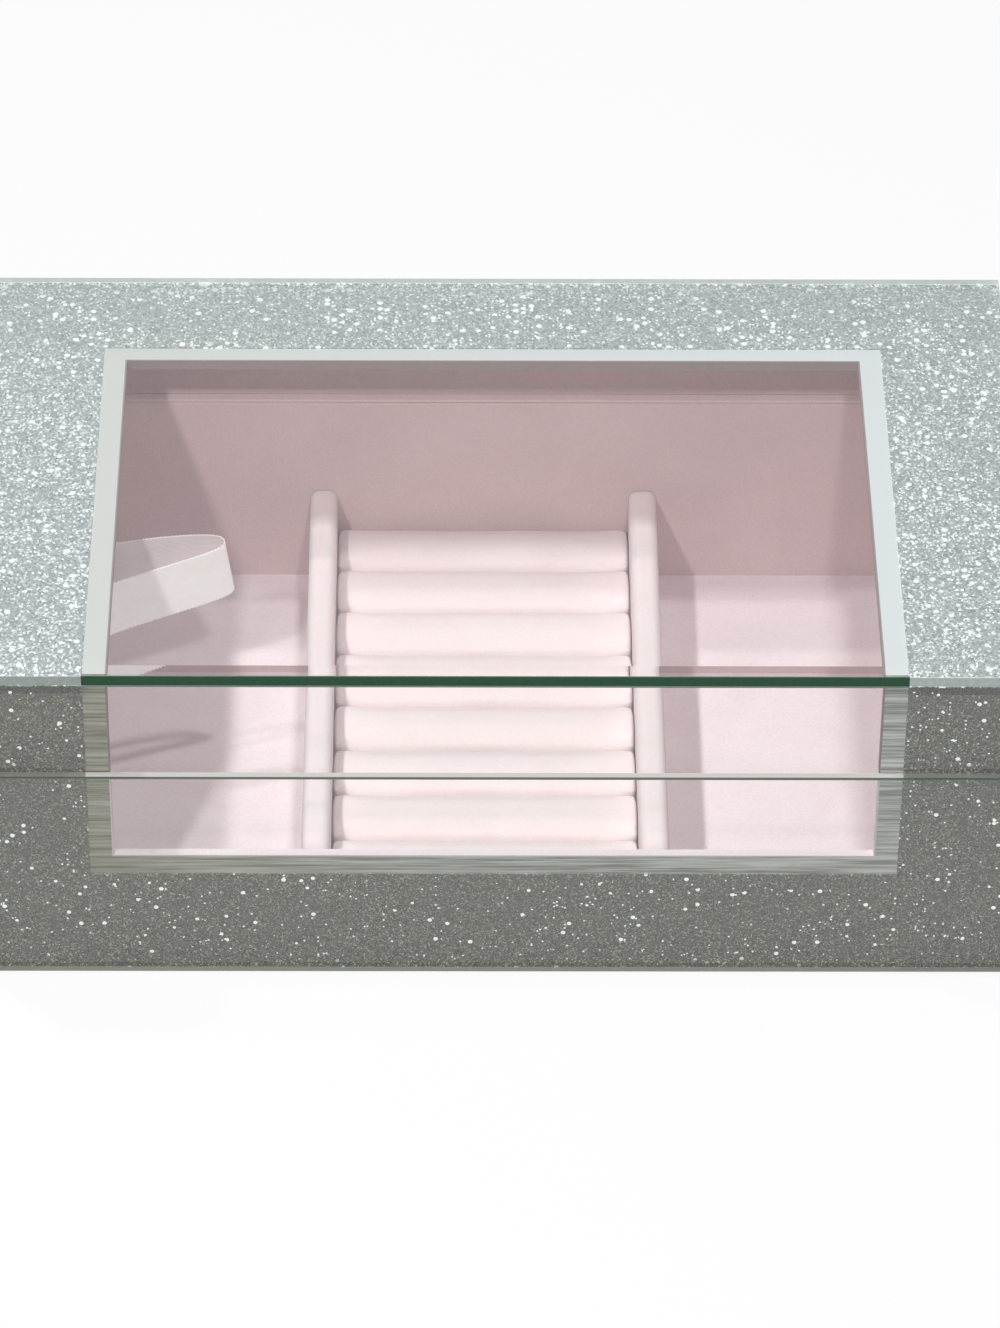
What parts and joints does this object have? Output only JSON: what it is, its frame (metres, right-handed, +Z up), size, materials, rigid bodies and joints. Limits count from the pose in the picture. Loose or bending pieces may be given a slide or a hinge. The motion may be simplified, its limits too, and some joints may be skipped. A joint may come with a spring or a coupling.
{
  "type": "jewelry organizer",
  "caption": "Glass-clad jewelry box with a hinged lid, a clear window over its top and front, glitter borders, velvet bays, dividers and padded ring rolls.",
  "frame": {"origin": "centre of the underside, on the felt sheet", "axes": "+X to the right seen from the front, +Y to the back where the hinges are, +Z up"},
  "size_m": [0.26, 0.1636, 0.0962],
  "materials": {
    "clear_glass": "clear float glass with polished green edges",
    "glitter_film": "silver glitter film",
    "glitter_paper": "silver glitter paper",
    "silver_board": "fibreboard faced with brushed silver foil",
    "velvet": "short pale pink velvet over board",
    "roll_velvet": "pale pink velvet over foam",
    "card": "plain card",
    "felt": "dark felt",
    "satin": "pink satin ribbon with picot edges",
    "hinge_steel": "nickel-plated steel"
  },
  "bodies": {
    "base": {"base_back_glitter_paper": "glitter_paper", "base_back_lining": "velvet", "base_back_wall": "silver_board", "base_front_glass": "clear_glass", "base_front_glitter_film": "glitter_film", "base_front_lining": "velvet", "base_front_rail": "silver_board", "base_hinge_leaves": "hinge_steel", "base_hinge_screws": "hinge_steel", "base_left_glass": "clear_glass", "base_left_lining": "velvet", "base_left_stile": "silver_board", "base_left_wall": "silver_board", "base_right_glass": "clear_glass", "base_right_lining": "velvet", "base_right_stile": "silver_board", "base_right_wall": "silver_board", "base_side_glitter_films": "glitter_film", "base_window_binding": "velvet", "bottom_board": "silver_board", "felt_sheet": "felt", "floor_pad": "velvet", "hinge_pins": "hinge_steel", "left_divider": "velvet", "right_divider": "velvet", "ring_roll_1": "roll_velvet", "ring_roll_2": "roll_velvet", "ring_roll_3": "roll_velvet", "ring_roll_4": "roll_velvet", "ring_roll_5": "roll_velvet", "ring_roll_6": "roll_velvet", "ring_roll_7": "roll_velvet", "ring_roll_8": "roll_velvet", "ring_roll_card": "card", "stay_ribbon": "satin"},
    "lid": {"lid_back_glitter_paper": "glitter_paper", "lid_back_lining": "velvet", "lid_back_rail": "silver_board", "lid_back_wall": "silver_board", "lid_front_glass": "clear_glass", "lid_front_glitter_film": "glitter_film", "lid_front_lining": "velvet", "lid_hinge_leaves": "hinge_steel", "lid_hinge_screws": "hinge_steel", "lid_left_glass": "clear_glass", "lid_left_lining": "velvet", "lid_left_rail": "silver_board", "lid_left_stile": "silver_board", "lid_left_wall": "silver_board", "lid_right_glass": "clear_glass", "lid_right_lining": "velvet", "lid_right_rail": "silver_board", "lid_right_stile": "silver_board", "lid_right_wall": "silver_board", "lid_side_glitter_films": "glitter_film", "lid_top_lining": "velvet", "lid_window_binding": "velvet", "top_glass": "clear_glass", "top_glitter_film": "glitter_film"}
  },
  "joints": [
    {"name": "lid_hinge", "type": "hinge", "parent": "base", "child": "lid", "pos_m": [0, 0.0819, 0.0639], "axis": [-1, 0, 0], "range_deg": [0, 95], "deforming": ["stay_ribbon"]}
  ]
}
